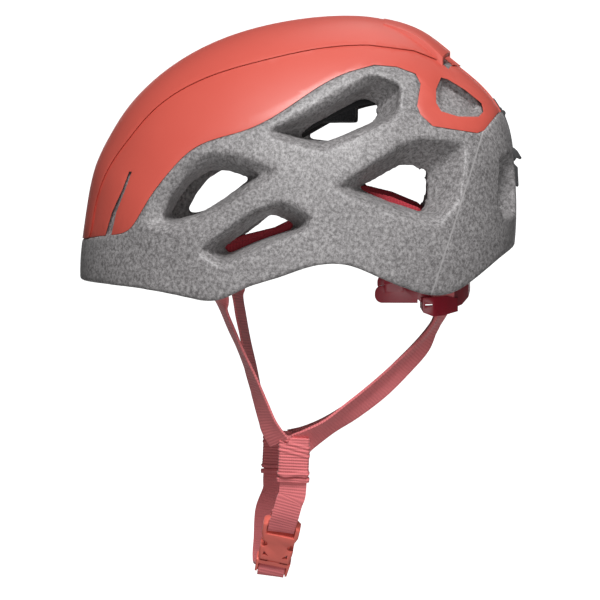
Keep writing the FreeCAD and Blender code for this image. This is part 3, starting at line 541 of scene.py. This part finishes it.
# routes and width directions of the straps on the left side; both front straps start alike
frontHead = [(0.0709, -0.0442, 0.0259), (0.0718, -0.0444, 0.0114), (0.0652, -0.0417, 0.001),
             (0.0624, -0.0360, -0.0137), (0.0600, -0.0308, -0.0260), (0.0570, -0.0248, -0.0410)]
frontTwist = [(0.28, 0.96, 0), (0.45, 0.9, 0), (0.93, 0.36, 0), (0.95, 0.30, 0), (0.96, 0.27, 0),
              (0.92, 0.38, 0)]
frontStraps = {
    "left": {"points": frontHead + [(0.0540, -0.0200, -0.0560), (0.0524, -0.0160, -0.0680),
                                    (0.0514, -0.0126, -0.0755), (0.0504, -0.0086, -0.0815)],
             "across": frontTwist + [(0.84, 0.54, 0.05), (0.76, 0.62, 0.15), (0.66, 0.7, 0.28),
                                     (0.6, 0.7, 0.4)]},
    "right": {"points": frontHead + [(0.0540, -0.0178, -0.0560), (0.0526, -0.0118, -0.0690),
                                     (0.0516, -0.0082, -0.0770), (0.0504, -0.0036, -0.0860)],
              "across": frontTwist + [(0.95, 0.3, 0), (0.97, 0.22, 0), (0.97, 0.2, 0), (0.97, 0.2, 0)]}}
anchorEnd = [(0.0603, 0.0786, 0.0355), (0.0603, 0.0786, 0.0210), (0.0520, 0.0872, 0.0095),
             (0.0512, 0.0882, 0.0025)]
rearStraps = {
    "left": {"points": anchorEnd + [(0.0503, 0.0866, -0.0050), (0.0500, 0.0820, -0.0135),
                                    (0.0510, 0.0755, -0.0240), (0.0520, 0.0642, -0.0360),
                                    (0.0520, 0.0500, -0.0495), (0.0514, 0.0342, -0.0620),
                                    (0.0500, 0.0205, -0.0716), (0.0489, 0.0080, -0.0795),
                                    (0.0486, 0.0025, -0.0830)],
             "across": [(-0.57, 0.82, 0), (-0.60, 0.80, 0), (-0.66, 0.75, 0), (-0.8, 0.58, 0),
                        (-0.92, 0.39, 0), (-0.95, 0.26, -0.15), (-0.80, 0.38, -0.46),
                        (-0.70, 0.46, -0.54), (-0.62, 0.49, -0.61), (-0.68, 0.46, -0.57),
                        (-0.78, 0.36, -0.5), (-0.60, 0.45, -0.66), (-0.3, 0.5, -0.8)],
             "folds": [0, 0, 0, 0, 0.1, 0.3, 0.6, 0.8, 0.8, 0.6, 0.3, 0.1, 0]},
    "right": {"points": anchorEnd + [(0.0503, 0.0874, -0.0050), (0.0500, 0.0863, -0.0120),
                                     (0.0500, 0.0835, -0.0195), (0.0510, 0.0750, -0.0320),
                                     (0.0520, 0.0620, -0.0460), (0.0520, 0.0470, -0.0605),
                                     (0.0514, 0.0310, -0.0725), (0.0500, 0.0165, -0.0815),
                                     (0.0495, 0.0040, -0.0875), (0.0489, -0.0080, -0.0906)],
              "across": [(-0.57, 0.82, 0), (-0.60, 0.80, 0), (-0.66, 0.75, 0), (-0.8, 0.58, 0),
                         (-0.92, 0.39, 0), (-0.95, 0.28, -0.1), (-0.95, 0.26, -0.15),
                         (-0.9, 0.33, -0.3), (-0.86, 0.37, -0.35), (-0.86, 0.37, -0.35),
                         (-0.88, 0.33, -0.33), (-0.88, 0.3, -0.35), (-0.84, 0.36, -0.4),
                         (-0.8, 0.4, -0.4)],
              "folds": [0] * 14}}

for sideName, side in sides.items():
    points = [handed(p, side) for p in frontStraps[sideName]["points"]]
    across = [(side * x, y, z) for x, y, z in frontStraps[sideName]["across"]]
    piece = strapPiece("front_strap_" + sideName + "_webbing", points, across)
    finishPiece(piece, "helmet", "webbing", "front_strap_" + sideName)
    strap = rearStraps[sideName]
    points = [(side * x, y, z) for x, y, z in strap["points"]]
    across = [(side * x, y, z) for x, y, z in strap["across"]]
    piece = strapPiece("rear_strap_" + sideName + "_webbing", points, across, strap["folds"])
    finishPiece(piece, "helmet", "webbing", "rear_strap_" + sideName)
print("Y straps")

buckle = {"origin": (0.0365, -0.0073, -0.1300), "along": (-0.515198, -0.208421, -0.831343),
          "through": (0.855245, -0.061744, -0.514532), "across": (-0.055909, 0.976088, -0.210062)}


def onBuckle(y, z):
    # point on the middle line of the buckle, y through it and z along it, both in mm
    return tuple(Vector(buckle["origin"]) + Vector(buckle["through"]) * y / 1000
                 + Vector(buckle["along"]) * z / 1000)


chinStrap = {
    "left": [(0.0485, -0.0002, -0.0876), (0.0453, -0.0012, -0.1109), (0.0443, -0.0032, -0.1175),
             (0.0420, -0.0056, -0.1260), onBuckle(3.1, 0.4), onBuckle(3.1, 4.6),
             onBuckle(2.5, 6.2), onBuckle(1.1, 7.0), onBuckle(-2.1, 7.0), onBuckle(-3.1, 5.4),
             onBuckle(-3.1, 0), onBuckle(-2.9, -4)],
    "right": [(-0.0485, -0.0152, -0.0956), (-0.0458, -0.0161, -0.1154), (-0.0447, -0.0164, -0.1234),
              (-0.0360, -0.0205, -0.1350), (-0.0240, -0.0208, -0.1500), (-0.0100, -0.0205, -0.1615),
              onBuckle(-8.0, 43.9), onBuckle(-2.4, 42.9), onBuckle(1.2, 42.6), onBuckle(3.3, 41.1),
              onBuckle(3.3, 38.1), onBuckle(2.3, 35.9), onBuckle(0.7, 35.2), onBuckle(-1.6, 35.2),
              onBuckle(-7.5, 35.9)]}
# the loose side bends from the junction to the plug that it is threaded on
for sideName, points in chinStrap.items():
    level = 2 if sideName == "left" else 6
    across = [(0, 1, 0)] * level + [(0, 1, -0.12)] * (len(points) - level)
    piece = strapPiece("chin_strap_" + sideName + "_webbing", points, across)
    if sideName == "right":
        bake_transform(piece)
    body = "helmet" if sideName == "left" else None
    finishPiece(piece, body, "webbing", "chin_strap_" + sideName)
print("chin straps")


# hard parts with softened edges

hardParts = {"buckle_female": ("helmet", 0.0005), "buckle_male": ("plug", 0.0004),
             "latch_left": ("latch_l", 0.0003), "latch_right": ("latch_r", 0.0003),
             "cradle_arm_left": ("cradle", 0.0005), "cradle_arm_right": ("cradle", 0.0005),
             "nape_yoke": ("yoke", 0.0005), "keeper_hook": ("keeper", 0.0004),
             "keeper_catch": ("helmet", 0.0004), "keeper_mount": ("helmet", 0.0003),
             "crown_core": ("helmet", 0.0006)}
for name, (body, width) in hardParts.items():
    piece = copyNode(name, name + "_moulded")
    softEdges(piece, width)
    finishPiece(piece, body, slotOf[name], name)
print("moulded parts")


# sewn junctions and keeper rings

junction = {"voxel": 0.00045, "top": (0.0499, 0.0002, -0.0780), "foot": (0.0466, -0.0008, -0.1015),
            "halfWidth": 0.009, "endCap": 0.7, "ribHeight": 0.00012, "barHeight": 0.0005,
            "bars": (0.0020, 0.0046, 0.0072), "barHalf": 0.00112, "barsEnd": 0.0085,
            "slant": 0.22, "hem": 0.0222, "hemHeight": 0.0006, "hemHalf": 0.0013,
            "wave": 0.0008, "waveLength": 0.0031}


def ridge(distance, half):
    return max(0.0, 1 - (distance / half) ** 2)


def sewnLift(along, across, detailed):
    # height of the ribs, the slanted stitch bars and the wavy hem
    edge = across + junction["halfWidth"]
    slanted = along - junction["slant"] * edge
    lift = 0.0
    if detailed:
        for bar in junction["bars"]:
            lift += junction["barHeight"] * ridge(slanted - bar, junction["barHalf"])
        wavy = junction["hem"] + junction["wave"] * math.sin(edge / junction["waveLength"])
        lift += junction["hemHeight"] * ridge(along - wavy, junction["hemHalf"])
        if slanted < junction["barsEnd"]:
            return lift
    return lift + junction["ribHeight"] * math.sin(2 * math.pi * along / webLook["rib"])


def sewnPiece(node, name, body, side, detailed):
    piece = copyNode(node, name)
    remesh(piece, junction["voxel"])
    relax(piece, 0.5, 3)
    top = Vector(handed(junction["top"], side))
    axis = (Vector(handed(junction["foot"], side)) - top).normalized()
    normals = [v.normal.copy() for v in piece.data.vertices]
    places = []
    for vertex, normal in zip(piece.data.vertices, normals):
        offset = vertex.co - top
        along = offset.dot(axis)
        across = (offset - axis * along).y
        places.append((along, across))
        if abs(normal.dot(axis)) <= junction["endCap"]:
            vertex.co += normal * sewnLift(along, across, detailed)
    layer = piece.data.uv_layers.new(name="UVMap")
    for loop in piece.data.loops:
        layer.data[loop.index].uv = places[loop.vertex_index]
    makeActive(piece)
    bpy.ops.object.shade_smooth()
    finishPiece(piece, body, "webbing", node)


for sideName, side in sides.items():
    sewnPiece("junction_" + sideName, "junction_" + sideName + "_wrap", "helmet", side, True)
    sewnPiece("ring_" + sideName, "ring_" + sideName + "_loop", "ring_" + sideName[0], side, False)
print("junctions")


# thin inner webbing and the elastic of the keeper

bands = {"harness_web_left": "helmet", "harness_web_right": "helmet", "keeper_band": "keeper"}
for name, body in bands.items():
    piece = copyNode(name, name + "_woven")
    remesh(piece, web["bandVoxel"])
    relax(piece, 0.5, 2)
    layer = piece.data.uv_layers.new(name="UVMap")
    for loop in piece.data.loops:
        place = piece.data.vertices[loop.vertex_index].co
        layer.data[loop.index].uv = (place.y, place.z)
    finishPiece(piece, body, slotOf[name], name)
print("inner webbing")


# pads

pad = {"voxel": 0.0045, "pressure": 4.0, "frames": 20, "cap": 0.004, "held": 0.3,
       "centre": Vector((0, 0.008, -0.008))}


def swell(piece, keepBack):
    # the pad's filling pushes its free side out; the side against the helmet is held
    group = piece.vertex_groups.new(name="back")
    held = [v.index for v in piece.data.vertices if keepBack(v.normal, v.co)]
    group.add(held, 1.0, "REPLACE")
    start = [v.co.copy() for v in piece.data.vertices]
    cloth = piece.modifiers.new("cloth", "CLOTH")
    cloth.settings.use_pressure = True
    cloth.settings.uniform_pressure_force = pad["pressure"]
    cloth.settings.effector_weights.gravity = 0.0
    cloth.settings.vertex_group_mass = "back"
    cloth.settings.quality = 6
    cloth.collision_settings.use_collision = False
    cloth.point_cache.frame_start = 1
    cloth.point_cache.frame_end = pad["frames"]
    scene = bpy.context.scene
    for step in range(1, pad["frames"] + 1):
        scene.frame_set(step)
        view = piece.evaluated_get(bpy.context.evaluated_depsgraph_get())
    swollen = [v.co.copy() for v in view.data.vertices]
    scene.frame_set(1)
    piece.modifiers.clear()
    for vertex, before, after in zip(piece.data.vertices, start, swollen):
        move = after - before
        if move.length > pad["cap"]:
            move *= pad["cap"] / move.length
        vertex.co = before + move
    piece.vertex_groups.clear()


def padPiece(name, node, body, keepBack):
    # keepBack says which side of the pad lies against the helmet
    piece = copyNode(node, name)
    remesh(piece, pad["voxel"])
    relax(piece, 0.5, 4)
    swell(piece, keepBack)
    smoother = piece.modifiers.new("smoother", "SUBSURF")
    smoother.levels = 1
    smoother.render_levels = 1
    applyAll(piece)
    bpy.ops.object.shade_smooth()
    finishPiece(piece, body, "padding", node)


def facesOut(normal, place):
    return normal.dot((place - pad["centre"]).normalized()) > pad["held"]


def facesRear(normal, place):
    return normal.y > pad["held"]


padPiece("brow_pad_cloth", "brow_pad", "helmet", facesOut)
padPiece("crown_pad_cloth", "crown_pad", "helmet", facesOut)
padPiece("nape_pad_cloth", "nape_pad", "yoke", facesRear)
print("pads")
